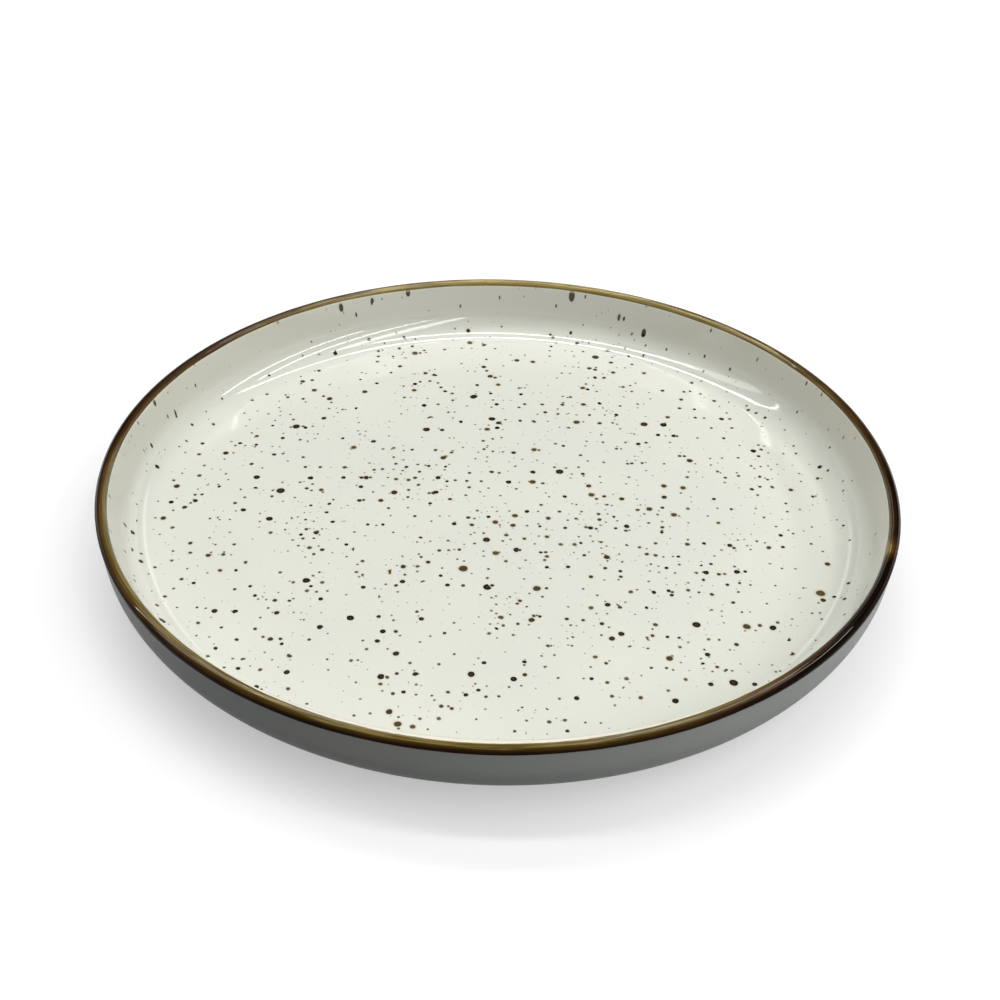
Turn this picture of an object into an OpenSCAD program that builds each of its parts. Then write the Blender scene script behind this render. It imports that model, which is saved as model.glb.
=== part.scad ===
// Dessert plate in stoneware: a flat floor, a low steep wall with a round cove inside, a round lip and a foot ring.
// The clay carries an inside coat, an outside coat, a coat in the base recess and a brown band over the lip.
// +Z is up, sizes are in millimetres, and the origin is the centre of the foot ring's resting face.

/* [Rim] */
// Overall diameter, measured over the lip
rim_d = 200; // [180:1:260]
// Thickness of the round lip, glaze included
lip_t = 2.8; // [2.2:0.1:4]

/* [Wall] */
// Depth of the well, from the top of the lip to the flat floor
well_depth = 16; // [15:0.5:40]
// Lean of the inner wall, in degrees from upright
inner_lean = 16; // [4:0.5:25]
// Lean of the outer wall, in degrees from upright
outer_lean = 4.5; // [0:0.5:12]
// Radius of the cove where the inner wall runs into the floor
cove_r = 9.5; // [4:0.5:11]
// Radius of the outer corner where the wall runs into the underside
corner_r = 13.5; // [8:0.5:15]

/* [Floor and foot ring] */
// Thickness of the floor, glaze included
floor_t = 3.7; // [3.2:0.1:8]
// Height of the foot ring, from the underside to the resting face
foot_h = 2.3; // [2:0.1:6]
// Outer diameter of the foot ring, glaze included
foot_d = 132; // [90:1:140]
// Width of the foot ring, glaze included
foot_w = 5.2; // [4:0.1:10]
// Radius of the small cove at each root of the foot ring
foot_root_r = 1; // [0.4:0.1:1.4]
// Radius of the foot ring's worn resting edges
foot_edge_r = 0.7; // [0.2:0.1:1]
// Height of bare clay left at the bottom of the foot ring
bare_h = 1.1; // [0.8:0.1:1.6]

/* [Glaze] */
// Thickness of every coat of glaze
glaze_t = 0.4; // [0.2:0.05:0.6]
// Reach of the rim band down the inside, from the top of the lip
band_inside = 1.3; // [0.8:0.1:6]
// Reach of the rim band down the outside, from the top of the lip
band_outside = 2.1; // [0.8:0.1:8]

/* [Hidden] */
$fn = 144;

// Each wall line runs this far inside the cove or corner that it joins, so that they cross cleanly
lap = 0.002;

// Steps round the lip, and round each edge and root of the foot ring
lip_steps = 18;
foot_steps = 6;

// Heights of the underside, of the floor's upper face and of the lip's top
under_z = foot_h;
floor_z = under_z + floor_t;
rim_z = floor_z + well_depth;

// The lip is a circle, and both walls leave it on tangents
lip_r = lip_t / 2;
lip_c = [rim_d / 2 - lip_r, rim_z - lip_r];
inner_n = [cos(inner_lean), -sin(inner_lean)];
outer_n = [cos(outer_lean), -sin(outer_lean)];

// Centre of the cove, which touches the floor and the inner wall
cove_z = floor_z + cove_r;
cove_c = [(inner_n * lip_c - lip_r - cove_r + sin(inner_lean) * cove_z) / cos(inner_lean), cove_z];

// Centre of the outer corner, which touches the underside and the outer wall
corner_z = under_z + corner_r;
corner_c = [(outer_n * lip_c + lip_r - corner_r + sin(outer_lean) * corner_z) / cos(outer_lean), corner_z];

// Radii of the foot ring
foot_out_r = foot_d / 2;
foot_in_r = foot_out_r - foot_w;
foot_mid_r = foot_out_r - foot_w / 2;

clay_colour = [0.76, 0.67, 0.56];
cream_colour = [0.93, 0.92, 0.87];
outside_colour = [0.72, 0.73, 0.69];
band_colour = [0.36, 0.24, 0.09];

// Points of an arc about c, in equal steps from the first angle to the last
function arc(c, r, first, last, steps) =
    [for (i = [0:steps]) let (a = first + (last - first) * i / steps) c + r * [cos(a), sin(a)]];

// Half section from the axis out to a wall, with a round corner of centre c and radius r below the wall.
// The wall stands on the corner's tangent n and goes on through the points given.
module pan(c, r, n, rim_points) {
    floor_points = [[0, c.y - r], [c.x, c.y - r]];
    top = rim_points[len(rim_points) - 1].y;
    polygon(concat(floor_points, [c + (r - lap) * n], rim_points, [[0, top]]));
    intersection() {
        translate(c) circle(r);
        translate([c.x - r, c.y - r]) square([2 * r, r]);
    }
}

// The hollow of the plate, reaching the given inset into the wall and the floor
module well(inset) {
    edge = lip_c - (lip_r - inset) * inner_n;
    pan(cove_c, cove_r + inset, inner_n, [edge, [edge.x, rim_z + lip_t]]);
}

// Everything between the axis and the outer wall and lip, drawn in by the inset
module cup(inset) {
    lip = arc(lip_c, lip_r - inset, -outer_lean, 180 - inner_lean, lip_steps);
    pan(corner_c, corner_r - inset, outer_n, lip);
}

// Foot ring with worn resting edges and a small cove at each root, up into the thickness of the floor
module foot_ring(inset) {
    root_z = under_z - foot_root_r;
    roots = [[foot_in_r - foot_root_r, root_z], [foot_out_r + foot_root_r, root_z]];
    edges = [[foot_in_r + inset + foot_edge_r, foot_edge_r], [foot_out_r - inset - foot_edge_r, foot_edge_r]];
    middle_z = under_z + floor_t / 2;
    polygon(concat(
        arc(roots[0], foot_root_r + inset, 90, 0, foot_steps),
        arc(edges[0], foot_edge_r, 180, 270, foot_steps),
        arc(edges[1], foot_edge_r, 270, 360, foot_steps),
        arc(roots[1], foot_root_r + inset, 180, 90, foot_steps),
        [[roots[1].x, middle_z], [roots[0].x, middle_z]]
    ));
}

// Half section of the plate, with every glazed face drawn in by the inset
module section(inset) {
    difference() {
        cup(inset);
        well(inset);
    }
    foot_ring(inset);
}

// Half section of the whole coat of glaze, before it is shared out
module coat() {
    difference() {
        section(0);
        section(glaze_t);
    }
}

// Everything between two heights and two radii
module zone(low_z, high_z, low_r = 0, high_r = rim_d) {
    translate([low_r, low_z]) square([high_r - low_r, high_z - low_z]);
}

// The eating side below the rim band, parted from the outside along the middle of the lip
module inner_zone() {
    intersection() {
        well(lip_r);
        zone(under_z, rim_z - band_inside);
    }
}

// The outside and the underside below the rim band
module outer_zone() {
    difference() {
        zone(0, rim_z - band_outside);
        well(lip_r);
    }
}

// Fired clay
module clay_body() {
    color(clay_colour) rotate_extrude() section(glaze_t);
}

// Coat of the eating side
module inner_glaze() {
    color(cream_colour) rotate_extrude() intersection() {
        coat();
        inner_zone();
    }
}

// Coat of the outer wall and of the underside, down to the bare clay of the foot ring
module outer_glaze() {
    color(outside_colour) rotate_extrude() intersection() {
        coat();
        outer_zone();
        zone(bare_h, rim_z, foot_mid_r);
    }
}

// Coat of the recess inside the foot ring
module base_glaze() {
    color(outside_colour) rotate_extrude() intersection() {
        coat();
        outer_zone();
        zone(bare_h, rim_z, 0, foot_mid_r);
    }
}

// Brown band over the lip
module rim_band() {
    color(band_colour) rotate_extrude() difference() {
        coat();
        inner_zone();
        outer_zone();
    }
}

clay_body();
inner_glaze();
outer_glaze();
base_glaze();
rim_band();
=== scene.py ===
"""Looks of a stoneware dessert plate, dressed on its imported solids.

Five turned pieces make the plate: the fired clay, the speckled coat of the eating side, the plain coats of
the outside and of the base recess, and the brown band over the lip. Sizes of the plate are written in
millimetres times MM, so that every value in Blender is in metres, in the frame of the solids.
"""
import logging
import math
from dataclasses import dataclass
from enum import Enum, IntEnum
from typing import ClassVar

import bmesh
import bpy
from mathutils import Matrix, Quaternion, Vector


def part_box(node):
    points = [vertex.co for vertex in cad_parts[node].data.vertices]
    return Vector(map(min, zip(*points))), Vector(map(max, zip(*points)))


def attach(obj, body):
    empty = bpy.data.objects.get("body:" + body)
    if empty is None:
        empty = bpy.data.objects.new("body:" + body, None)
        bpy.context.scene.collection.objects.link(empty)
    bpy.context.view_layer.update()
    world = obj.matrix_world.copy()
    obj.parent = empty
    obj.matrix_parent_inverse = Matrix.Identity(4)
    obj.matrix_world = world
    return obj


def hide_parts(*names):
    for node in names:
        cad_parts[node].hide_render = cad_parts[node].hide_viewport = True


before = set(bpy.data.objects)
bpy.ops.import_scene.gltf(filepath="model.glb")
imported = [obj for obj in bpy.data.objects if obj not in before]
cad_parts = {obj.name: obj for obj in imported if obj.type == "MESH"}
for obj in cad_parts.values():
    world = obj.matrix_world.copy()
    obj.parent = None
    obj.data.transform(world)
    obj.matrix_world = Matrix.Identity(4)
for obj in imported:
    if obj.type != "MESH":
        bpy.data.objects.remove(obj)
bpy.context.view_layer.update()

MM = 0.001
TURN_STEPS = 288
MERGE_GAP = 1e-7
SHARP_ANGLE = math.radians(35)
QUARTER_TURN = math.pi / 2
BODY = "root"

# The middle part of a noise, over which one colour drifts into another
DRIFT = (0.35, 0.65)
MIDDLE_OF_NOISE = Vector((0.5, 0.5, 0.5))

Colour = tuple[float, float, float]
Span = tuple[float, float]
Socket = bpy.types.NodeSocket
Value = Socket | float | Colour | Vector

log = logging.getLogger("dessert_plate")


class Slot(Enum):
    """Material slots of the record."""

    CLAY = "clay"
    INSIDE = "speckled_cream_glaze"
    OUTSIDE = "outside_glaze"
    RIM = "brown_rim_glaze"


class Edge(IntEnum):
    """Edges of the coats that run a little unevenly round the plate."""

    PLAIN = 0
    BAND_INSIDE = 1
    BAND_OUTSIDE = 2
    FOOT_OUTSIDE = 3
    FOOT_INSIDE = 4


class Detail(Enum):
    """Number of finer layers in a noise."""

    SMOOTH = 1.0
    PLAIN = 2.0
    FINE = 3.0
    GRITTY = 4.0


class Space(Enum):
    """Coordinates of a cell pattern."""

    FLAT = "2D"
    SOLID = "3D"


@dataclass(frozen=True)
class EdgeWave:
    """How far a brushed or dipped edge strays from its line, as a sum of sines round the plate.

    Attributes:
        height: Height of the largest sine.
        counts: Number of waves of each sine in one turn; faster waves are lower.
        phase: Turn of the first sine, in radians.
    """

    height: float
    counts: tuple[int, ...]
    phase: float

    def shift(self, azimuth: float) -> float:
        """Returns the shift up or down at an azimuth in radians.

        Args:
            azimuth: Angle round the plate's axis.

        Returns:
            The shift in metres.
        """
        total = 0.0
        for order, count in enumerate(self.counts):
            total += math.sin(count * azimuth + self.phase * (order + 1) ** 2) / (order + 1)
        return self.height * total


EDGE_WAVES: dict[Edge, EdgeWave] = {
    Edge.BAND_INSIDE: EdgeWave(0.10 * MM, (3, 8, 19, 34), 0.7),
    Edge.BAND_OUTSIDE: EdgeWave(0.12 * MM, (2, 7, 17, 31), 2.1),
    Edge.FOOT_OUTSIDE: EdgeWave(0.07 * MM, (4, 11, 23), 1.3),
    Edge.FOOT_INSIDE: EdgeWave(0.07 * MM, (3, 9, 21), 0.2),
}


@dataclass(frozen=True)
class PlateSection:
    """Half section of the plate, with the sizes of the solids.

    The walls leave the lip, the cove and the corner on tangents, and every coat keeps the same centres of
    curvature.
    """

    rim_r: float
    rim_z: float
    band_inside_z: float
    band_outside_z: float
    bare_z: float
    lip_t: float = 2.8 * MM
    well_depth: float = 16 * MM
    inner_lean: float = math.radians(16)
    outer_lean: float = math.radians(4.5)
    cove_r: float = 9.5 * MM
    corner_r: float = 13.5 * MM
    floor_t: float = 3.7 * MM
    foot_d: float = 132 * MM
    foot_w: float = 5.2 * MM
    root_r: float = 1.0 * MM
    edge_r: float = 0.7 * MM
    glaze_t: float = 0.4 * MM

    @classmethod
    def from_frame(cls) -> "PlateSection":
        """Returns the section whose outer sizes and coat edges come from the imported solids."""
        band_low, band_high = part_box("rim_band")
        inside_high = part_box("inner_glaze")[1]
        outside_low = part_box("outer_glaze")[0]
        return cls(
            rim_r=band_high.x,
            rim_z=band_high.z,
            band_inside_z=inside_high.z,
            band_outside_z=band_low.z,
            bare_z=outside_low.z,
        )

    @property
    def floor_z(self) -> float:
        """Height of the floor's upper face."""
        return self.rim_z - self.well_depth

    @property
    def under_z(self) -> float:
        """Height of the underside."""
        return self.floor_z - self.floor_t

    @property
    def lip_r(self) -> float:
        """Radius of the round lip."""
        return self.lip_t / 2

    @property
    def lip_c(self) -> Vector:
        """Centre of the lip."""
        return Vector((self.rim_r - self.lip_r, self.rim_z - self.lip_r))

    @property
    def inner_n(self) -> Vector:
        """Direction from the eating side into the wall."""
        return Vector((math.cos(self.inner_lean), -math.sin(self.inner_lean)))

    @property
    def outer_n(self) -> Vector:
        """Direction out of the outer wall."""
        return Vector((math.cos(self.outer_lean), -math.sin(self.outer_lean)))

    @property
    def cove_c(self) -> Vector:
        """Centre of the cove between the floor and the inner wall."""
        z = self.floor_z + self.cove_r
        reach = self.inner_n.dot(self.lip_c) - self.lip_r - self.cove_r
        return Vector(((reach + math.sin(self.inner_lean) * z) / math.cos(self.inner_lean), z))

    @property
    def corner_c(self) -> Vector:
        """Centre of the corner between the outer wall and the underside."""
        z = self.under_z + self.corner_r
        reach = self.outer_n.dot(self.lip_c) + self.lip_r - self.corner_r
        return Vector(((reach + math.sin(self.outer_lean) * z) / math.cos(self.outer_lean), z))

    @property
    def foot_out_r(self) -> float:
        """Outer radius of the foot ring."""
        return self.foot_d / 2

    @property
    def foot_in_r(self) -> float:
        """Inner radius of the foot ring."""
        return self.foot_out_r - self.foot_w

    @property
    def outer_root_c(self) -> Vector:
        """Centre of the small cove at the foot ring's outer root."""
        return Vector((self.foot_out_r + self.root_r, self.under_z - self.root_r))

    @property
    def inner_root_c(self) -> Vector:
        """Centre of the small cove at the foot ring's inner root."""
        return Vector((self.foot_in_r - self.root_r, self.under_z - self.root_r))

    @property
    def cove_turn(self) -> float:
        """Angle that the cove turns through."""
        return QUARTER_TURN - self.inner_lean

    @property
    def corner_turn(self) -> float:
        """Angle that the outer corner turns through."""
        return QUARTER_TURN - self.outer_lean

    @property
    def lip_turn(self) -> float:
        """Angle that the lip turns through between the two walls."""
        return math.pi - self.inner_lean + self.outer_lean

    def inner_wall(self, z: float, inset: float) -> Vector:
        """Returns the point of the inner wall at a height.

        Args:
            z: Height of the point.
            inset: Depth below the glazed face.

        Returns:
            Radius and height of the point.
        """
        start = self.lip_c - (self.lip_r - inset) * self.inner_n
        return Vector((start.x + (z - start.y) * math.tan(self.inner_lean), z))

    def outer_wall(self, z: float, inset: float) -> Vector:
        """Returns the point of the outer wall at a height.

        Args:
            z: Height of the point.
            inset: Depth below the glazed face.

        Returns:
            Radius and height of the point.
        """
        start = self.lip_c + (self.lip_r - inset) * self.outer_n
        return Vector((start.x + (z - start.y) * math.tan(self.outer_lean), z))


class ProfilePen:
    """Draws a half section in the XZ plane, as one chain of edges, with bmesh operators."""

    def __init__(self, bm: bmesh.types.BMesh, start: Vector, edge: Edge = Edge.PLAIN) -> None:
        """Puts the pen down.

        Args:
            bm: Mesh that takes the section.
            start: Radius and height of the first point.
            edge: Uneven edge that the point belongs to.
        """
        self.bm = bm
        self.marks = bm.verts.layers.int.new("edge")
        self.first = bm.verts.new((start.x, 0, start.y))
        self.tip = self.first
        self.tip[self.marks] = edge

    def line_to(self, end: Vector, steps: int = 1, edge: Edge = Edge.PLAIN) -> None:
        """Draws a straight line.

        Args:
            end: Radius and height of its last point.
            steps: Number of equal edges.
            edge: Uneven edge that the last point belongs to.
        """
        stride = (Vector((end.x, 0, end.y)) - self.tip.co) / steps
        for _ in range(steps):
            made = bmesh.ops.extrude_vert_indiv(self.bm, verts=[self.tip])
            self.tip = made["verts"][0]
            self.tip[self.marks] = Edge.PLAIN
            bmesh.ops.translate(self.bm, verts=[self.tip], vec=stride)
        self.tip[self.marks] = edge

    def arc(self, centre: Vector, turn: float, steps: int) -> None:
        """Draws an arc, which keeps the pen's mark.

        Args:
            centre: Radius and height of its centre.
            turn: Angle from the X axis towards the Z axis.
            steps: Number of equal edges.
        """
        made = bmesh.ops.spin(
            self.bm,
            geom=[self.tip],
            cent=(centre.x, 0, centre.y),
            axis=(0, -1, 0),
            angle=turn,
            steps=steps,
            use_duplicate=False,
        )
        self.tip = next(item for item in made["geom_last"] if isinstance(item, bmesh.types.BMVert))

    def close(self) -> None:
        """Joins the last point to the first."""
        self.bm.edges.new((self.tip, self.first))

    def turn_round(self) -> None:
        """Spins the section once round the plate's axis, closes its poles and turns its faces outwards."""
        bmesh.ops.spin(
            self.bm,
            geom=self.bm.verts[:] + self.bm.edges[:],
            cent=(0, 0, 0),
            axis=(0, 0, 1),
            angle=math.tau,
            steps=TURN_STEPS,
            use_merge=True,
            use_duplicate=False,
        )
        bmesh.ops.remove_doubles(self.bm, verts=self.bm.verts[:], dist=MERGE_GAP)
        bmesh.ops.recalc_face_normals(self.bm, faces=self.bm.faces[:])
        # On a thin dished shell the operator can take the inside for the outside; its volume is then below 0
        if self.bm.calc_volume(signed=True) < 0:
            bmesh.ops.reverse_faces(self.bm, faces=self.bm.faces[:])

    def run_edges(self, section: PlateSection) -> None:
        """Shifts each marked edge along its wall, so that it strays as a brushed or dipped edge does.

        Args:
            section: Section that gives the lean of the walls.
        """
        leans = {Edge.BAND_INSIDE: section.inner_lean, Edge.BAND_OUTSIDE: section.outer_lean}
        for vert in self.bm.verts:
            mark = Edge(vert[self.marks])
            if mark is Edge.PLAIN:
                continue
            outward = Vector((vert.co.x, vert.co.y, 0)).normalized()
            shift = EDGE_WAVES[mark].shift(math.atan2(vert.co.y, vert.co.x))
            vert.co += shift * (Vector((0, 0, 1)) + math.tan(leans.get(mark, 0.0)) * outward)
        self.bm.verts.layers.int.remove(self.marks)


class Bench:
    """Sets out and links the nodes of one material."""

    def __init__(self, name: str) -> None:
        """Makes an empty material.

        Args:
            name: Name of the material.
        """
        self.material = bpy.data.materials.new(name)
        self.material.use_nodes = True
        self.nodes = self.material.node_tree.nodes
        self.links = self.material.node_tree.links
        self.nodes.clear()
        self.output = self.add("ShaderNodeOutputMaterial")
        self.place = self.add("ShaderNodeTexCoord").outputs["Object"]

    def add(self, kind: str, *values: Value, **settings: object) -> bpy.types.Node:
        """Adds a node.

        Args:
            kind: Type of the node.
            *values: Its first inputs, in order.
            **settings: Properties of the node.

        Returns:
            The node.
        """
        node = self.nodes.new(kind)
        for name, value in settings.items():
            setattr(node, name, value)
        for socket, value in zip(node.inputs, values):
            self.feed(socket, value)
        return node

    def feed(self, socket: Socket, value: Value) -> None:
        """Links a socket to another, or sets its value.

        Args:
            socket: Input that takes the value.
            value: Output to link, number, colour or vector.
        """
        if isinstance(value, Socket):
            self.links.new(value, socket)
        elif socket.type == "RGBA":
            socket.default_value = (*value, 1.0)
        else:
            socket.default_value = value

    def math(self, operation: str, *values: Value) -> Socket:
        """Returns the result of an operation on numbers."""
        return self.add("ShaderNodeMath", *values, operation=operation).outputs[0]

    def vector(self, operation: str, *values: Value) -> bpy.types.Node:
        """Returns the node of an operation on vectors, whose outputs are Vector and Value."""
        return self.add("ShaderNodeVectorMath", *values, operation=operation)

    def span(self, value: Value, start: tuple[Value, Value], end: Span = (0.0, 1.0)) -> Socket:
        """Maps the start range onto the end range, easing in and out and held at both ends."""
        node = self.add("ShaderNodeMapRange", value, *start, *end, interpolation_type="SMOOTHSTEP")
        return node.outputs[0]

    def mix(self, share: Value, first: Value, second: Value) -> Socket:
        """Mixes two colours.

        Args:
            share: Share of the second colour.
            first: Colour at a share of 0.
            second: Colour at a share of 1.

        Returns:
            The mixed colour.
        """
        node = self.add("ShaderNodeMix", data_type="RGBA")
        # The node's colour sockets stand behind those for numbers and vectors
        self.feed(node.inputs[0], share)
        self.feed(node.inputs[6], first)
        self.feed(node.inputs[7], second)
        return node.outputs[2]

    def noise(self, vector: Value, size: float, detail: Detail = Detail.PLAIN) -> bpy.types.Node:
        """Adds a noise of a real size.

        Args:
            vector: Coordinates in metres.
            size: Size of its waves.
            detail: Number of finer layers.

        Returns:
            The node, whose outputs are Fac and Color.
        """
        node = self.add("ShaderNodeTexNoise")
        self.feed(node.inputs["Vector"], vector)
        node.inputs["Scale"].default_value = 1 / size
        node.inputs["Detail"].default_value = detail.value
        return node

    def cells(self, vector: Value, size: float, space: Space = Space.SOLID) -> bpy.types.Node:
        """Adds a pattern of cells of a real size.

        Args:
            vector: Coordinates in metres.
            size: Size of the cells.
            space: Whether the cells lie on flat coordinates or fill the solid.

        Returns:
            The node, whose outputs are Distance and Color.
        """
        node = self.add("ShaderNodeTexVoronoi", voronoi_dimensions=space.value)
        self.feed(node.inputs["Vector"], vector)
        node.inputs["Scale"].default_value = 1 / size
        return node

    def axes(self) -> tuple[Socket, ...]:
        """Returns X, Y and Z of the shaded point."""
        return tuple(self.add("ShaderNodeSeparateXYZ", self.place).outputs)

    def split(self) -> tuple[Socket, Socket, Socket]:
        """Returns the flat vector across the plate, the radius and the height of the shaded point."""
        flat = self.vector("MULTIPLY", self.place, Vector((1, 1, 0))).outputs["Vector"]
        radius = self.vector("LENGTH", flat).outputs["Value"]
        return flat, radius, self.axes()[2]

    def scaled(self, value: Value, factors: Span) -> tuple[Socket, Socket]:
        """Returns a number times each of two factors."""
        return self.math("MULTIPLY", value, factors[0]), self.math("MULTIPLY", value, factors[1])

    def centred(self, noise: Value, width: float) -> Socket:
        """Returns a noise of 0 to 1 spread over a width, half of it below 0."""
        return self.math("MULTIPLY_ADD", noise, width, -width / 2)

    def ragged(self, level: Value, size: float, depth: float) -> Socket:
        """Makes a level uneven.

        Args:
            level: Height of the shaded point.
            size: Size of the waves along the surface.
            depth: Height of the waves, from lowest to highest.

        Returns:
            The uneven level.
        """
        waves = self.noise(self.place, size).outputs["Fac"]
        return self.math("ADD", level, self.centred(waves, depth))

    def mottled(self, size: float, detail: Detail, first: Colour, second: Colour) -> Socket:
        """Returns two colours that drift into each other in patches of a real size."""
        patches = self.noise(self.place, size, detail).outputs["Fac"]
        return self.mix(self.span(patches, DRIFT), first, second)

    def bump(self, height: Value, depth: float) -> Socket:
        """Returns the normal of a surface with a fine relief.

        Args:
            height: Relief from 0 to 1.
            depth: Depth of the relief.

        Returns:
            The normal.
        """
        node = self.add("ShaderNodeBump")
        node.inputs["Distance"].default_value = depth
        self.feed(node.inputs["Height"], height)
        return node.outputs[0]

    def rippled(self, size: float, detail: Detail, depth: float) -> Socket:
        """Returns the normal of a glaze that has settled in soft waves."""
        return self.bump(self.noise(self.place, size, detail).outputs["Fac"], depth)

    def surface(self, colour: Value, roughness: Value, normal: Value,
                ior: Value = 1.5) -> bpy.types.Material:
        """Ends the material in one shader.

        Args:
            colour: Base colour.
            roughness: Roughness.
            normal: Normal with its relief.
            ior: Refractive index.

        Returns:
            The finished material.
        """
        shader = self.add("ShaderNodeBsdfPrincipled")
        self.feed(shader.inputs["Base Color"], colour)
        self.feed(shader.inputs["Roughness"], roughness)
        self.feed(shader.inputs["Normal"], normal)
        self.feed(shader.inputs["IOR"], ior)
        self.links.new(shader.outputs[0], self.output.inputs["Surface"])
        return self.material


@dataclass(frozen=True)
class SpeckLayer:
    """Specks of one range of sizes, scattered one to a cell.

    Attributes:
        cell: Size of the cells.
        share: Share of the cells that hold a speck.
        small: Radius of the smallest speck.
        large: Radius of the largest speck.
        soft: Half width of the speck's melted edge.
        strength: How strongly the specks colour the glaze.
        on_wall: Share of these specks that stays on the steep wall.
        offset: Place in the endless pattern, in metres.
    """

    cell: float
    share: float
    small: float
    large: float
    soft: float
    strength: float
    on_wall: float
    offset: tuple[float, float, float]


@dataclass(frozen=True)
class SpeckledGlaze:
    """Glossy cream glaze of the eating side, with iron specks melted into it, and painted shade on its steep
    wall.

    Attributes:
        wall_stretch: Share of the height that is added to the radius, so that specks run less down the wall.
        wall_shade_heights: Heights above the floor over which the colour turns into the darker wall colour,
            which is painted shade of the steep wall.
        wall_start: Heights above the floor over which the specks thin out.
        stray_size: Size of the waves that make the specks uneven.
        stray: Width over which the waves shift a speck's edge.
        crowd_r: Radii over which the specks get fewer.
        crowd: How many specks fall at those radii.
        clump_noise: Part of the noise over which bare places turn into crowded ones.
        clump: How many specks fall in bare and in crowded places.
        size_power: How few of the specks are large.
        tone_power: How few of the specks are brown.
        halo_reach: Outer and inner end of the stain round a speck, in its radii.
        core_reach: Outer and inner end of its lighter middle, in its radii.
        stain_least: Strength of the palest stain.
        stain_more: How much stronger the stain of the brownest speck is.
        bleed_z: Heights about the rim band's edge over which the band bleeds into the cream.
    """

    section: PlateSection
    cream: Colour = (0.775, 0.785, 0.70)
    shade: Colour = (0.75, 0.765, 0.685)
    # Painted shade: the steep inner wall gets this darker cream in place of the shade that falls on it
    wall: Colour = (0.67, 0.67, 0.585)
    straw: Colour = (0.86, 0.79, 0.60)
    dark: Colour = (0.017, 0.0125, 0.007)
    warm: Colour = (0.115, 0.082, 0.033)
    core: Colour = (0.080, 0.072, 0.055)
    halo: Colour = (0.55, 0.42, 0.18)
    mottle_size: float = 34 * MM
    wall_stretch: float = 0.21
    wall_shade_heights: Span = (3 * MM, 9 * MM)
    wall_start: Span = (1.5 * MM, 5 * MM)
    stray_size: float = 1.6 * MM
    stray: float = 0.45 * MM
    crowd_r: Span = (38 * MM, 86 * MM)
    crowd: Span = (1.2, 0.72)
    clump_size: float = 21 * MM
    clump_noise: Span = (0.36, 0.64)
    clump: Span = (0.5, 1.5)
    size_power: float = 2.2
    tone_power: float = 2.6
    halo_reach: Span = (1.9, 0.9)
    core_reach: Span = (0.85, 0.1)
    core_share: float = 0.34
    stain_least: float = 0.04
    stain_more: float = 0.40
    bleed_z: Span = (-0.9 * MM, 0.1 * MM)
    bleed_share: float = 0.55
    ragged_size: float = 4 * MM
    ragged_depth: float = 0.5 * MM
    ripple_size: float = 17 * MM
    ripple_depth: float = 0.03 * MM
    roughness: float = 0.06
    ior: float = 1.55
    layers: tuple[SpeckLayer, ...] = (
        SpeckLayer(1.9 * MM, 0.160, 0.10 * MM, 0.22 * MM, 0.07 * MM, 0.35, 0.8, (0.31, 0.17, 0)),
        SpeckLayer(2.3 * MM, 0.165, 0.15 * MM, 0.36 * MM, 0.07 * MM, 0.80, 0.8, (0.73, 0.41, 0)),
        SpeckLayer(3.4 * MM, 0.255, 0.28 * MM, 0.55 * MM, 0.08 * MM, 0.95, 0.7, (0.13, 0.89, 0)),
        SpeckLayer(5.0 * MM, 0.340, 0.45 * MM, 0.85 * MM, 0.09 * MM, 1.0, 0.2, (0.21, 0.77, 0)),
        SpeckLayer(6.2 * MM, 0.200, 0.50 * MM, 1.10 * MM, 0.09 * MM, 1.0, 0.1, (0.38, 0.12, 0)),
    )

    def specks(self, bench: Bench, plan: Value, density: Value, wall: Value, layer: SpeckLayer,
               colour: Value) -> Socket:
        """Lays one range of specks on a colour.

        Args:
            bench: Material's nodes.
            plan: Flat coordinates of the spatter.
            density: How many specks fall here, about 1.
            wall: 0 on the floor and 1 on the steep wall.
            layer: Range of specks.
            colour: Colour of the glaze so far.

        Returns:
            The colour with the specks.
        """
        place = bench.vector("ADD", plan, Vector(layer.offset)).outputs["Vector"]
        cells = bench.cells(place, layer.cell, Space.FLAT)
        distance = cells.outputs["Distance"]
        size, chance, tone = bench.add("ShaderNodeSeparateColor", cells.outputs["Color"]).outputs
        kept = bench.math("MULTIPLY_ADD", wall, (layer.on_wall - 1) * layer.share, layer.share)
        held = bench.math("LESS_THAN", chance, bench.math("MULTIPLY", density, kept))
        # Lengths inside a cell are shares of its size
        small, large, soft = (length / layer.cell for length in (layer.small, layer.large, layer.soft))
        skewed = bench.math("POWER", size, self.size_power)
        radius = bench.math("MULTIPLY_ADD", skewed, large - small, small)
        edge = (bench.math("ADD", radius, soft), bench.math("SUBTRACT", radius, soft))
        spot = bench.math("MULTIPLY", bench.span(distance, edge), held)
        bleed = bench.math("MULTIPLY", bench.span(distance, bench.scaled(radius, self.halo_reach)), held)
        middle = bench.span(distance, bench.scaled(radius, self.core_reach))
        melted = bench.mix(bench.math("POWER", tone, self.tone_power), self.dark, self.warm)
        melted = bench.mix(bench.math("MULTIPLY", middle, self.core_share), melted, self.core)
        more, least = self.stain_more * layer.strength, self.stain_least * layer.strength
        stain = bench.math("MULTIPLY_ADD", tone, more, least)
        tinted = bench.mix(bench.math("MULTIPLY", bleed, stain), colour, self.halo)
        return bench.mix(bench.math("MULTIPLY", spot, layer.strength), tinted, melted)

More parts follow.
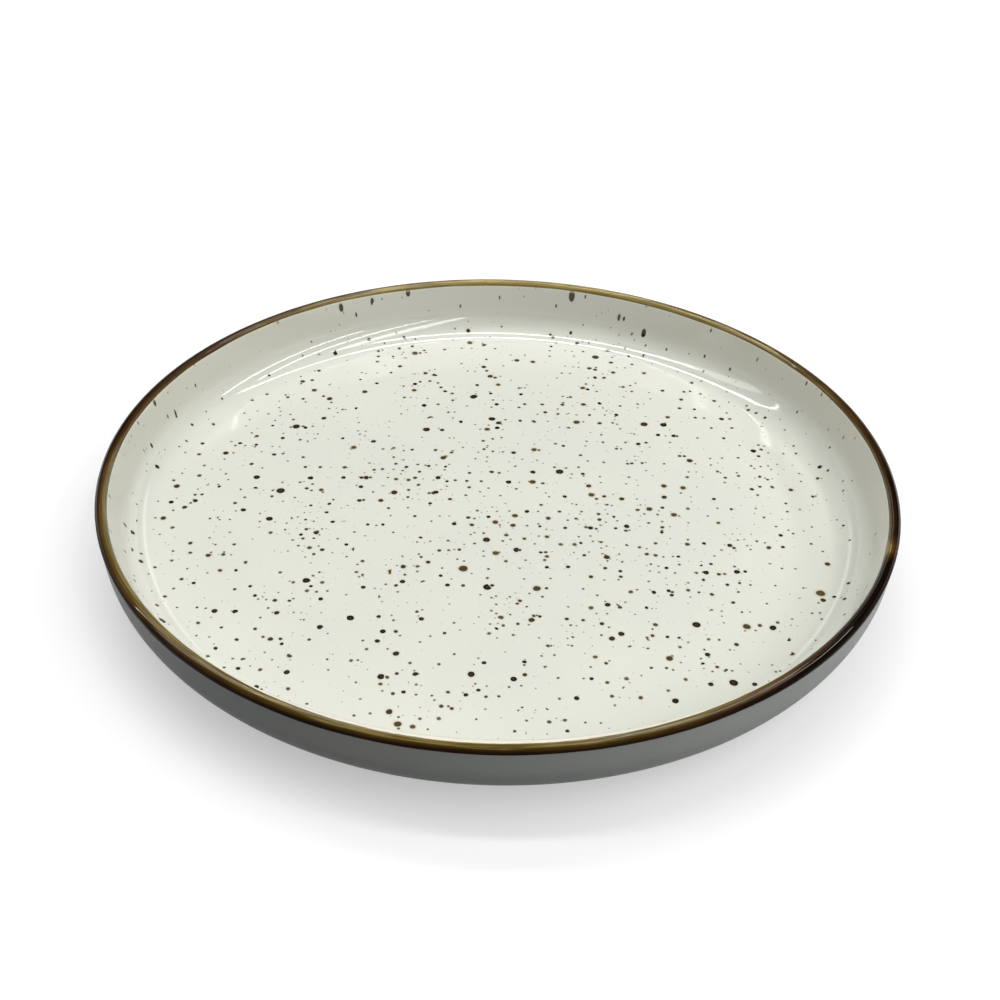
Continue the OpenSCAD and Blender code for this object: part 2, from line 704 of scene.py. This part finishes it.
    def spatter_plan(self, bench: Bench, flat: Value, radius: Value, climb: Value) -> Socket:
        """Returns the flat coordinates of the spatter, spread up the wall and a little uneven.

        Args:
            bench: Material's nodes.
            flat: Flat vector across the plate.
            radius: Radius of the shaded point.
            climb: Its height above the floor.

        Returns:
            The coordinates.
        """
        stretch = bench.math("DIVIDE", bench.math("MULTIPLY", climb, self.wall_stretch), radius)
        spread = bench.vector("SCALE", flat)
        bench.feed(spread.inputs["Scale"], bench.math("ADD", stretch, 1.0))
        plan = spread.outputs["Vector"]
        waves = bench.noise(plan, self.stray_size).outputs["Color"]
        strayed = bench.vector("SCALE", bench.vector("SUBTRACT", waves, MIDDLE_OF_NOISE).outputs["Vector"])
        strayed.inputs["Scale"].default_value = self.stray
        return bench.vector("ADD", plan, strayed.outputs["Vector"]).outputs["Vector"]

    def material(self) -> bpy.types.Material:
        """Returns the material."""
        bench = Bench("speckled_cream_glaze")
        flat, radius, height = bench.split()
        climb = bench.math("MAXIMUM", bench.math("SUBTRACT", height, self.section.floor_z), 0.0)
        plan = self.spatter_plan(bench, flat, radius, climb)
        outwards = bench.span(radius, self.crowd_r, self.crowd)
        clump = bench.span(bench.noise(flat, self.clump_size).outputs["Fac"], self.clump_noise, self.clump)
        density = bench.math("MULTIPLY", outwards, clump)
        wall = bench.span(climb, self.wall_start)
        colour = bench.mottled(self.mottle_size, Detail.FINE, self.cream, self.shade)
        # Painted shade: the colour darkens into the wall colour as the point climbs the steep wall
        colour = bench.mix(bench.span(climb, self.wall_shade_heights), colour, self.wall)
        for layer in self.layers:
            colour = self.specks(bench, plan, density, wall, layer, colour)
        level = bench.ragged(height, self.ragged_size, self.ragged_depth)
        bleed_z = tuple(self.section.band_inside_z + shift for shift in self.bleed_z)
        colour = bench.mix(bench.span(level, bleed_z, (0.0, self.bleed_share)), colour, self.straw)
        normal = bench.rippled(self.ripple_size, Detail.SMOOTH, self.ripple_depth)
        return bench.surface(colour, self.roughness, normal, self.ior)


@dataclass(frozen=True)
class OutsideGlaze:
    """Plain satin grey glaze of the outside and of the recess, thin and warm at its edges; part of its grey
    is painted shade.

    Attributes:
        pit_reach: Outer and inner end of a pinhole, in cells.
        foot_edge: Height of the thin edge above the bare clay.
        rim_edge: Heights about the rim band's edge over which the glaze is thin.
    """

    section: PlateSection
    # Partly painted shade: pale and cool are greyer than the inside's cream, in place of the shade on the
    # outer wall
    pale: Colour = (0.545, 0.56, 0.54)
    cool: Colour = (0.51, 0.535, 0.515)
    buff: Colour = (0.30, 0.25, 0.18)
    pit: Colour = (0.20, 0.18, 0.15)
    mottle_size: float = 26 * MM
    pit_cell: float = 6 * MM
    pit_reach: Span = (0.035, 0.015)
    pit_share: float = 0.5
    foot_edge: float = 0.5 * MM
    foot_share: float = 0.75
    rim_edge: Span = (-0.7 * MM, 0.1 * MM)
    rim_share: float = 0.35
    ragged_size: float = 3 * MM
    ragged_depth: float = 0.5 * MM
    ripple_size: float = 14 * MM
    ripple_depth: float = 0.03 * MM
    roughness: float = 0.40
    ior: float = 1.12

    def material(self) -> bpy.types.Material:
        """Returns the material."""
        bench = Bench("plain_outside_glaze")
        colour = bench.mottled(self.mottle_size, Detail.FINE, self.pale, self.cool)
        distance = bench.cells(bench.place, self.pit_cell).outputs["Distance"]
        colour = bench.mix(bench.span(distance, self.pit_reach, (0.0, self.pit_share)), colour, self.pit)
        level = bench.ragged(bench.axes()[2], self.ragged_size, self.ragged_depth)
        foot_z = (self.section.bare_z + self.foot_edge, self.section.bare_z)
        colour = bench.mix(bench.span(level, foot_z, (0.0, self.foot_share)), colour, self.buff)
        rim_z = tuple(self.section.band_outside_z + shift for shift in self.rim_edge)
        colour = bench.mix(bench.span(level, rim_z, (0.0, self.rim_share)), colour, self.buff)
        normal = bench.rippled(self.ripple_size, Detail.SMOOTH, self.ripple_depth)
        return bench.surface(colour, self.roughness, normal, self.ior)


@dataclass(frozen=True)
class Brushing:
    """How the rim glaze lies at one place round the rim.

    Attributes:
        azimuth: Angle round the plate's axis, in degrees.
        thick: Thickness of the glaze, which darkens it from the outside inwards.
        tint: How far its thin part turns from gold to olive.
    """

    azimuth: float
    thick: float
    tint: float


@dataclass(frozen=True)
class BrownRimGlaze:
    """Reactive glaze over the lip: cream and gold where it is thin, brown and black where it lies thick.

    Its colour goes by the tilt round the lip, which is 0 on the crest, below 0 inside and above 0 outside.

    Attributes:
        brushed: How the glaze lies round the rim, in order of azimuth.
        edge_low: Tilt of the band's inner edge where it reaches furthest down the inside.
        edge_lift: How far the inner edge climbs towards the front of the plate.
        edge_power: How suddenly it climbs.
        dark_from: Tilt at which the thinnest glaze starts to darken on the outside.
        dark_reach: How far the darkening moves inwards as the glaze gets thick.
        amber_depth: Depths of darkening over which gold and olive turn to amber; brown and black follow.
        streak_pitch: Length that one radian of tilt counts as, so that streaks run along the rim.
        streak_stray: How far streaks shift the darkening, in tilt; patches add to it.
        tint_noise: Part of the streaks over which the tint shifts by tint_stray.
        line_thick: Thickness over which the line along the inner edge turns from olive to black.
        line_reach: Far and near end of that line from the edge, in tilt.
        line_drop: How far both ends draw in where the edge climbs.
        cream_reach: Tilts about the inner edge over which the glaze thins to cream.
        sheen_tilt: Tilts over which the sheen falls off outside.
    """

    section: PlateSection
    cream: Colour = (0.86, 0.82, 0.68)
    gold: Colour = (0.42, 0.32, 0.105)
    olive: Colour = (0.118, 0.084, 0.016)
    amber: Colour = (0.105, 0.062, 0.013)
    brown: Colour = (0.055, 0.024, 0.006)
    black: Colour = (0.007, 0.003, 0.001)
    brushed: tuple[Brushing, ...] = (
        Brushing(0, 0.83, 0.9), Brushing(15, 0.70, 0.9), Brushing(30, 0.55, 0.8),
        Brushing(45, 0.44, 0.4), Brushing(60, 0.36, 0.3), Brushing(90, 0.31, 0.12),
        Brushing(104, 0.35, 0.25), Brushing(107, 0.42, 0.4), Brushing(120, 0.47, 0.5),
        Brushing(135, 0.62, 0.8), Brushing(150, 0.80, 0.9), Brushing(166, 0.80, 0.9),
        Brushing(180, 0.72, 0.95), Brushing(190, 0.52, 1.0), Brushing(210, 0.30, 0.95),
        Brushing(225, 0.20, 0.85), Brushing(240, 0.08, 0.8), Brushing(258, 0.0, 0.65),
        Brushing(282, 0.0, 0.7), Brushing(293, 0.12, 0.8), Brushing(301, 0.32, 0.9),
        Brushing(314, 0.66, 0.9), Brushing(321, 1.0, 1.0), Brushing(334, 1.0, 1.0),
        Brushing(336.5, 0.92, 0.9), Brushing(338.5, 0.40, 0.5), Brushing(340.5, 0.40, 0.5),
        Brushing(343, 0.77, 0.95), Brushing(350, 0.82, 0.95),
    )
    edge_low: float = -1.75
    edge_lift: float = 2.0
    edge_power: float = 2.2
    edge_stray: float = 0.3
    dark_from: float = 0.9
    dark_reach: float = 3.0
    amber_depth: Span = (-0.25, 0.25)
    brown_depth: Span = (0.15, 0.85)
    black_depth: Span = (0.60, 1.90)
    streak_pitch: float = 50 * MM
    streak_size: float = 16 * MM
    streak_stray: float = 1.4
    patch_size: float = 6 * MM
    patch_stray: float = 0.6
    tint_noise: Span = (0.36, 0.66)
    tint_stray: Span = (-0.30, 0.35)
    line_thick: Span = (0.3, 0.8)
    line_reach: Span = (0.76, 0.35)
    line_drop: Span = (0.42, 0.25)
    line_share: float = 0.7
    cream_reach: Span = (0.06, -0.10)
    ripple_size: float = 5 * MM
    ripple_depth: float = 0.012 * MM
    roughness: float = 0.045
    sheen_tilt: Span = (0.50, 1.0)
    sheen: Span = (1.44, 1.05)

    def brushing(self, bench: Bench, azimuth: Value) -> tuple[Socket, Socket]:
        """Returns how the glaze lies at an azimuth.

        Args:
            bench: Material's nodes.
            azimuth: Angle round the plate's axis.

        Returns:
            The thickness and the tint, each from 0 to 1.
        """
        ramp = bench.add("ShaderNodeValToRGB", bench.math("FRACT", bench.math("DIVIDE", azimuth, math.tau)))
        stops = ramp.color_ramp.elements
        # New stops start halfway, and are then put in their places
        while len(stops) < len(self.brushed):
            stops.new(0.5)
        for stop, place in zip(stops, self.brushed):
            stop.position = place.azimuth / 360
            stop.color = (place.thick, place.tint, 0.0, 1.0)
        thick, tint, _ = bench.add("ShaderNodeSeparateColor", ramp.outputs[0]).outputs
        return thick, tint

    def edged(self, bench: Bench, colour: Value, from_edge: Value, lift: Value, thick: Value) -> Socket:
        """Draws the dark line and the cream bleed along the band's inner edge.

        Args:
            bench: Material's nodes.
            colour: Colour of the band.
            from_edge: Tilt counted from the inner edge.
            lift: How far the edge has climbed here, from 0 to 1.
            thick: Thickness of the glaze.

        Returns:
            The colour with its edge.
        """
        line = bench.mix(bench.span(thick, self.line_thick), self.olive, self.black)
        ends = zip(self.line_reach, self.line_drop)
        reach = tuple(bench.math("MULTIPLY_ADD", lift, -drop, full) for full, drop in ends)
        colour = bench.mix(bench.span(from_edge, reach, (0.0, self.line_share)), colour, line)
        return bench.mix(bench.span(from_edge, self.cream_reach), colour, self.cream)

    def material(self) -> bpy.types.Material:
        """Returns the material."""
        bench = Bench("brown_rim_glaze")
        flat, radius, height = bench.split()
        x, y, _ = bench.axes()
        out = bench.math("SUBTRACT", radius, self.section.lip_c.x)
        up = bench.math("SUBTRACT", height, self.section.lip_c.y)
        tilt = bench.math("ARCTAN2", out, up)
        thick, tint = self.brushing(bench, bench.math("ARCTAN2", y, x))
        pitch = bench.math("MULTIPLY", tilt, self.streak_pitch)
        across = bench.add("ShaderNodeCombineXYZ", 0.0, 0.0, pitch)
        along = bench.vector("ADD", flat, across.outputs[0]).outputs["Vector"]
        streak = bench.noise(along, self.streak_size, Detail.FINE).outputs["Fac"]
        patch = bench.noise(bench.place, self.patch_size, Detail.FINE).outputs["Fac"]
        stray = bench.centred(streak, self.streak_stray)
        strayed = bench.math("ADD", stray, bench.centred(patch, self.patch_stray))
        dark_start = bench.math("MULTIPLY_ADD", thick, -self.dark_reach, self.dark_from)
        depth = bench.math("ADD", bench.math("SUBTRACT", tilt, dark_start), strayed)
        streaked = bench.math("ADD", tint, bench.span(streak, self.tint_noise, self.tint_stray))
        colour = bench.mix(streaked, self.gold, self.olive)
        colour = bench.mix(bench.span(depth, self.amber_depth), colour, self.amber)
        colour = bench.mix(bench.span(depth, self.brown_depth), colour, self.brown)
        colour = bench.mix(bench.span(depth, self.black_depth), colour, self.black)
        front = bench.math("MAXIMUM", bench.math("DIVIDE", bench.math("MULTIPLY", y, -1.0), radius), 0.0)
        lift = bench.math("POWER", front, self.edge_power)
        edge = bench.math("MULTIPLY_ADD", lift, self.edge_lift, self.edge_low)
        from_edge = bench.math("SUBTRACT", tilt, edge)
        from_edge = bench.math("ADD", from_edge, bench.centred(patch, self.edge_stray))
        colour = self.edged(bench, colour, from_edge, lift, thick)
        normal = bench.rippled(self.ripple_size, Detail.PLAIN, self.ripple_depth)
        return bench.surface(colour, self.roughness, normal, bench.span(tilt, self.sheen_tilt, self.sheen))


@dataclass(frozen=True)
class BareClay:
    """Matt fired stoneware with grog and fine iron grains, seen on the foot ring.

    Attributes:
        iron_reach: Outer and inner end of an iron grain, in cells.
        grain_noise: Part of the grain over which the roughness rises.
    """

    buff: Colour = (0.50, 0.38, 0.26)
    sandy: Colour = (0.58, 0.47, 0.34)
    iron: Colour = (0.16, 0.09, 0.05)
    mottle_size: float = 9 * MM
    iron_cell: float = 0.9 * MM
    iron_reach: Span = (0.2, 0.1)
    iron_share: float = 0.7
    grain_size: float = 0.6 * MM
    grain_noise: Span = (0.3, 0.7)
    grain_depth: float = 0.08 * MM
    roughness: Span = (0.75, 0.95)

    def material(self) -> bpy.types.Material:
        """Returns the material."""
        bench = Bench("bare_clay")
        grain = bench.noise(bench.place, self.grain_size, Detail.GRITTY).outputs["Fac"]
        colour = bench.mottled(self.mottle_size, Detail.PLAIN, self.buff, self.sandy)
        distance = bench.cells(bench.place, self.iron_cell).outputs["Distance"]
        colour = bench.mix(bench.span(distance, self.iron_reach, (0.0, self.iron_share)), colour, self.iron)
        roughness = bench.span(grain, self.grain_noise, self.roughness)
        return bench.surface(colour, roughness, bench.bump(grain, self.grain_depth))


@dataclass
class TurnedPiece:
    """One piece of the plate, turned from its half section.

    Attributes:
        section: Section of the whole plate.
        material: Finish of the piece.
        name: Name of the piece.
        node: Solid that the piece stands for.
        slot: Material slot of the piece.
    """

    section: PlateSection
    material: bpy.types.Material
    floor_rings: int = 14
    cove_steps: int = 20
    wall_steps: int = 6
    lip_steps: int = 24
    corner_steps: int = 22
    root_steps: int = 8
    edge_steps: int = 8
    name: ClassVar[str]
    node: ClassVar[str]
    slot: ClassVar[Slot]

    def draw(self, bm: bmesh.types.BMesh) -> ProfilePen:
        """Draws the half section.

        Args:
            bm: Mesh that takes the section.

        Returns:
            The pen that drew it.
        """
        raise NotImplementedError

    def build(self) -> None:
        """Turns the section into a finished piece that stands for its solid."""
        bm = bmesh.new()
        pen = self.draw(bm)
        pen.turn_round()
        pen.run_edges(self.section)
        mesh = bpy.data.meshes.new(self.name)
        bm.to_mesh(mesh)
        bm.free()
        mesh.shade_smooth()
        mesh.set_sharp_from_angle(angle=SHARP_ANGLE)
        mesh.materials.append(self.material)
        piece = bpy.data.objects.new(self.name, mesh)
        bpy.context.scene.collection.objects.link(piece)
        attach(piece, BODY)
        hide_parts(self.node)
        log.info("%s: %d faces, stands for %s", self.name, len(mesh.polygons), self.node)


@dataclass
class FiredClay(TurnedPiece):
    """The clay under the glaze, bare on the foot ring."""

    name: ClassVar[str] = "fired_clay"
    node: ClassVar[str] = "clay_body"
    slot: ClassVar[Slot] = Slot.CLAY

    def draw(self, bm: bmesh.types.BMesh) -> ProfilePen:
        """Draws the clay from the middle of its floor, over the lip and round the foot ring.

        Args:
            bm: Mesh that takes the section.

        Returns:
            The pen that drew it.
        """
        plate = self.section
        coat = plate.glaze_t
        out_root, in_root = plate.outer_root_c, plate.inner_root_c
        out_edge = Vector((plate.foot_out_r - coat - plate.edge_r, plate.edge_r))
        in_edge = Vector((plate.foot_in_r + coat + plate.edge_r, plate.edge_r))
        pen = ProfilePen(bm, Vector((0, plate.floor_z - coat)))
        pen.line_to(Vector((plate.cove_c.x, plate.floor_z - coat)), self.floor_rings)
        pen.arc(plate.cove_c, plate.cove_turn, self.cove_steps)
        pen.line_to(plate.lip_c - (plate.lip_r - coat) * plate.inner_n, self.wall_steps)
        pen.arc(plate.lip_c, -plate.lip_turn, self.lip_steps)
        pen.line_to(plate.corner_c + (plate.corner_r - coat) * plate.outer_n, self.wall_steps)
        pen.arc(plate.corner_c, -plate.corner_turn, self.corner_steps)
        pen.line_to(Vector((out_root.x, plate.under_z + coat)), self.wall_steps)
        pen.arc(out_root, QUARTER_TURN, self.root_steps)
        pen.line_to(Vector((plate.foot_out_r - coat, plate.edge_r)))
        pen.arc(out_edge, -QUARTER_TURN, self.edge_steps)
        pen.line_to(Vector((in_edge.x, 0)))
        pen.arc(in_edge, -QUARTER_TURN, self.edge_steps)
        pen.line_to(Vector((plate.foot_in_r + coat, in_root.y)))
        pen.arc(in_root, QUARTER_TURN, self.root_steps)
        pen.line_to(Vector((0, plate.under_z + coat)), self.floor_rings)
        return pen


@dataclass
class InnerCoat(TurnedPiece):
    """The speckled coat of the floor, the cove and the inner wall."""

    name: ClassVar[str] = "speckled_inner_coat"
    node: ClassVar[str] = "inner_glaze"
    slot: ClassVar[Slot] = Slot.INSIDE

    def draw(self, bm: bmesh.types.BMesh) -> ProfilePen:
        """Draws the coat's face from the axis up to the rim band, and its back down again.

        Args:
            bm: Mesh that takes the section.

        Returns:
            The pen that drew it.
        """
        plate = self.section
        coat = plate.glaze_t
        edge_z = plate.band_inside_z
        pen = ProfilePen(bm, Vector((0, plate.floor_z)))
        pen.line_to(Vector((plate.cove_c.x, plate.floor_z)), self.floor_rings)
        pen.arc(plate.cove_c, plate.cove_turn, self.cove_steps)
        pen.line_to(plate.inner_wall(edge_z, 0), self.wall_steps, Edge.BAND_INSIDE)
        pen.line_to(plate.inner_wall(edge_z, coat), 1, Edge.BAND_INSIDE)
        pen.line_to(plate.cove_c + (plate.cove_r + coat) * plate.inner_n, self.wall_steps)
        pen.arc(plate.cove_c, -plate.cove_turn, self.cove_steps)
        pen.line_to(Vector((0, plate.floor_z - coat)), self.floor_rings)
        return pen


@dataclass
class RimBand(TurnedPiece):
    """The brown band over the lip."""

    name: ClassVar[str] = "brown_rim_band"
    node: ClassVar[str] = "rim_band"
    slot: ClassVar[Slot] = Slot.RIM

    def draw(self, bm: bmesh.types.BMesh) -> ProfilePen:
        """Draws the band's face from the inside over the lip to the outside, and its back.

        Args:
            bm: Mesh that takes the section.

        Returns:
            The pen that drew it.
        """
        plate = self.section
        coat = plate.glaze_t
        pen = ProfilePen(bm, plate.inner_wall(plate.band_inside_z, 0), Edge.BAND_INSIDE)
        pen.line_to(plate.lip_c - plate.lip_r * plate.inner_n)
        pen.arc(plate.lip_c, -plate.lip_turn, self.lip_steps)
        pen.line_to(plate.outer_wall(plate.band_outside_z, 0), 1, Edge.BAND_OUTSIDE)
        pen.line_to(plate.outer_wall(plate.band_outside_z, coat), 1, Edge.BAND_OUTSIDE)
        pen.line_to(plate.lip_c + (plate.lip_r - coat) * plate.outer_n)
        pen.arc(plate.lip_c, plate.lip_turn, self.lip_steps)
        pen.line_to(plate.inner_wall(plate.band_inside_z, coat), 1, Edge.BAND_INSIDE)
        pen.close()
        return pen


@dataclass
class OuterCoat(TurnedPiece):
    """The plain coat of the outer wall and of the underside, ending in a bead on the foot ring."""

    name: ClassVar[str] = "plain_outer_coat"
    node: ClassVar[str] = "outer_glaze"
    slot: ClassVar[Slot] = Slot.OUTSIDE

    def draw(self, bm: bmesh.types.BMesh) -> ProfilePen:
        """Draws the coat's face from the rim band down to the foot ring, and its back.

        Args:
            bm: Mesh that takes the section.

        Returns:
            The pen that drew it.
        """
        plate = self.section
        coat = plate.glaze_t
        root = plate.outer_root_c
        bead = Vector((plate.foot_out_r - coat / 2, plate.bare_z + coat / 2))
        pen = ProfilePen(bm, plate.outer_wall(plate.band_outside_z, 0), Edge.BAND_OUTSIDE)
        pen.line_to(plate.corner_c + plate.corner_r * plate.outer_n, self.wall_steps)
        pen.arc(plate.corner_c, -plate.corner_turn, self.corner_steps)
        pen.line_to(Vector((root.x, plate.under_z)), self.wall_steps)
        pen.arc(root, QUARTER_TURN, self.root_steps)
        pen.line_to(Vector((plate.foot_out_r, bead.y)), 1, Edge.FOOT_OUTSIDE)
        pen.arc(bead, -math.pi, self.edge_steps)
        pen.line_to(Vector((plate.foot_out_r - coat, root.y)))
        pen.arc(root, -QUARTER_TURN, self.root_steps)
        pen.line_to(Vector((plate.corner_c.x, plate.under_z + coat)), self.wall_steps)
        pen.arc(plate.corner_c, plate.corner_turn, self.corner_steps)
        pen.line_to(plate.outer_wall(plate.band_outside_z, coat), self.wall_steps, Edge.BAND_OUTSIDE)
        pen.close()
        return pen


@dataclass
class BaseCoat(TurnedPiece):
    """The coat of the recess inside the foot ring, ending in a bead."""

    name: ClassVar[str] = "base_recess_coat"
    node: ClassVar[str] = "base_glaze"
    slot: ClassVar[Slot] = Slot.OUTSIDE

    def draw(self, bm: bmesh.types.BMesh) -> ProfilePen:
        """Draws the coat's face from the axis down to the foot ring, and its back.

        Args:
            bm: Mesh that takes the section.

        Returns:
            The pen that drew it.
        """
        plate = self.section
        coat = plate.glaze_t
        root = plate.inner_root_c
        bead = Vector((plate.foot_in_r + coat / 2, plate.bare_z + coat / 2))
        pen = ProfilePen(bm, Vector((0, plate.under_z)))
        pen.line_to(Vector((root.x, plate.under_z)), self.floor_rings)
        pen.arc(root, -QUARTER_TURN, self.root_steps)
        pen.line_to(Vector((plate.foot_in_r, bead.y)), 1, Edge.FOOT_INSIDE)
        pen.arc(bead, math.pi, self.edge_steps)
        pen.line_to(Vector((plate.foot_in_r + coat, root.y)))
        pen.arc(root, QUARTER_TURN, self.root_steps)
        pen.line_to(Vector((0, plate.under_z + coat)), self.floor_rings)
        return pen


@dataclass(frozen=True)
class StripLamp:
    """A long ceiling lamp that shines straight down.

    Attributes:
        name: Name of the lamp.
        x: Its two ends along X, in heights of the lamp plane.
        y: Its two ends along Y, in heights of the lamp plane.
        radiance: Its brightness, where 1 renders white.
    """

    name: str
    x: Span
    y: Span
    radiance: float

    def build(self, height: float) -> None:
        """Hangs the lamp.

        Args:
            height: Height of the lamp plane.
        """
        light = bpy.data.lights.new(self.name, "AREA")
        light.shape = "RECTANGLE"
        light.size = (self.x[1] - self.x[0]) * height
        light.size_y = (self.y[1] - self.y[0]) * height
        light.energy = self.radiance * math.pi * light.size * light.size_y
        lamp = bpy.data.objects.new(self.name, light)
        lamp.location = (sum(self.x) / 2 * height, sum(self.y) / 2 * height, height)
        bpy.context.scene.collection.objects.link(lamp)


@dataclass(frozen=True)
class Studio:
    """Pale floor with a low surround far off, ceiling lamps, faint ambient light and the photograph's view.

    Attributes:
        floor_white: Colour of the floor to the eye and in reflections.
        floor_bounce: Colour that lights the plate from the floor.
        floor_glow: Glow near the plate, which leaves its shadow.
        far_glow: Glow far off and on the surround.
        glow_r: Radii over which the glow rises.
        axis_dip: How far the camera looks below level.
    """

    rim_z: float
    floor_half: float = 4.0
    floor_drop: float = 0.1 * MM
    floor_white: Colour = (0.60, 0.60, 0.60)
    floor_bounce: Colour = (0.14, 0.14, 0.14)
    floor_glow: float = 0.46
    far_glow: float = 0.88
    glow_r: Span = (0.6, 1.8)
    grain_size: float = 0.35
    grain_share: float = 0.04
    surround_r: float = 3.6
    surround_h: float = 0.7
    surround_sides: int = 96
    ambient: Colour = (0.01, 0.01, 0.01)
    lamp_height: float = 1.0
    lamps: tuple[StripLamp, ...] = (
        StripLamp("back_right_strip", (0.15, 0.70), (0.455, 0.495), 14.0),
        StripLamp("back_strip", (-0.60, 0.15), (0.445, 0.505), 22.0),
        StripLamp("back_left_strip", (-2.10, -0.60), (0.46, 0.49), 15.0),
        StripLamp("back_panel", (-0.80, 0.80), (0.52, 0.90), 0.35),
        StripLamp("top_strip", (-0.60, 0.30), (0.055, 0.135), 13.0),
        StripLamp("top_left_strip", (-2.20, -0.60), (-0.03, 0.22), 3.0),
        StripLamp("right_panel", (0.37, 0.49), (-1.8, 0.10), 7.2),
        StripLamp("right_strip", (0.72, 0.78), (-1.6, 0.32), 16.0),
        StripLamp("far_right_strip", (1.31, 1.45), (-1.2, 0.50), 14.0),
        StripLamp("left_strip", (-0.52, -0.48), (-0.9, 0.0), 2.0),
        StripLamp("far_left_strip", (-1.05, -1.0), (-0.7, 0.0), 0.6),
        StripLamp("low_back_strip", (-0.9, 1.2), (1.80, 2.20), 1.5),
    )
    lens: float = 46.8
    sensor: float = 36.0
    clip_start: float = 0.01
    eye_distance: float = 331.66 * MM
    eye_elevation: float = math.radians(34.269)
    axis_dip: float = math.radians(36.226)
    pan: float = math.radians(-0.095)
    roll: float = math.radians(1.532)

    def floor_material(self) -> bpy.types.Material:
        """Returns a floor that looks white, also in reflections, and bounces little light at the plate."""
        bench = Bench("pale_floor")
        path = bench.add("ShaderNodeLightPath")
        seen = bench.math("MAXIMUM", path.outputs["Is Camera Ray"], path.outputs["Is Glossy Ray"])
        seen = bench.math("MAXIMUM", seen, path.outputs["Is Transmission Ray"])
        grain = bench.noise(bench.place, self.grain_size).outputs["Fac"]
        strength = bench.span(bench.split()[1], self.glow_r, (self.floor_glow, self.far_glow))
        tone = bench.mix(seen, self.floor_bounce, self.floor_white)
        tone = bench.mix(bench.math("MULTIPLY", grain, self.grain_share), tone, self.floor_bounce)
        lit = bench.add("ShaderNodeBsdfDiffuse", tone)
        glow = bench.add("ShaderNodeEmission")
        bench.feed(glow.inputs["Strength"], bench.math("MULTIPLY", seen, strength))
        both = bench.add("ShaderNodeAddShader", lit.outputs[0], glow.outputs[0])
        bench.links.new(both.outputs[0], bench.output.inputs["Surface"])
        return bench.material

    def lay_floor(self) -> None:
        """Lays the floor just under the foot ring, with a low surround far off."""
        bm = bmesh.new()
        bmesh.ops.create_grid(bm, x_segments=1, y_segments=1, size=self.floor_half)
        bmesh.ops.create_cone(
            bm,
            segments=self.surround_sides,
            radius1=self.surround_r,
            radius2=self.surround_r,
            depth=self.surround_h,
            matrix=Matrix.Translation((0, 0, self.surround_h / 2)),
        )
        bmesh.ops.translate(bm, verts=bm.verts[:], vec=(0, 0, -self.floor_drop))
        mesh = bpy.data.meshes.new("pale_floor")
        bm.to_mesh(mesh)
        bm.free()
        mesh.materials.append(self.floor_material())
        floor = bpy.data.objects.new("pale_floor", mesh)
        bpy.context.scene.collection.objects.link(floor)

    def light(self) -> None:
        """Hangs the lamps and sets the ambient light."""
        for lamp in self.lamps:
            lamp.build(self.lamp_height)
        world = bpy.data.worlds.new("soft_room")
        world.use_nodes = True
        world.node_tree.nodes["Background"].inputs["Color"].default_value = (*self.ambient, 1.0)
        bpy.context.scene.world = world

    def set_camera(self) -> None:
        """Sets the camera at the photograph's place, looking a little below the plate's middle."""
        data = bpy.data.cameras.new("eye")
        data.lens = self.lens
        data.sensor_width = self.sensor
        data.clip_start = self.clip_start
        camera = bpy.data.objects.new("eye", data)
        back = Vector((0, -math.cos(self.eye_elevation), math.sin(self.eye_elevation)))
        camera.location = Vector((0, 0, self.rim_z)) + self.eye_distance * back
        heading = Quaternion((0, 0, 1), self.pan)
        dip = Quaternion((1, 0, 0), QUARTER_TURN - self.axis_dip)
        camera.rotation_mode = "QUATERNION"
        camera.rotation_quaternion = heading @ dip @ Quaternion((0, 0, 1), self.roll)
        bpy.context.scene.collection.objects.link(camera)
        bpy.context.scene.camera = camera

    def build(self) -> None:
        """Builds the whole studio and sets plain colour handling."""
        self.lay_floor()
        self.light()
        self.set_camera()
        bpy.context.scene.view_settings.view_transform = "Standard"


def main() -> None:
    """Builds the plate's pieces in order, and then the studio."""
    logging.basicConfig(level=logging.INFO, format="%(name)s: %(message)s")
    section = PlateSection.from_frame()
    outside = OutsideGlaze(section).material()
    pieces = (
        FiredClay(section, BareClay().material()),
        InnerCoat(section, SpeckledGlaze(section).material()),
        OuterCoat(section, outside),
        BaseCoat(section, outside),
        RimBand(section, BrownRimGlaze(section).material()),
    )
    for piece in pieces:
        piece.build()
    Studio(section.rim_z).build()


if __name__ == "__main__":
    main()
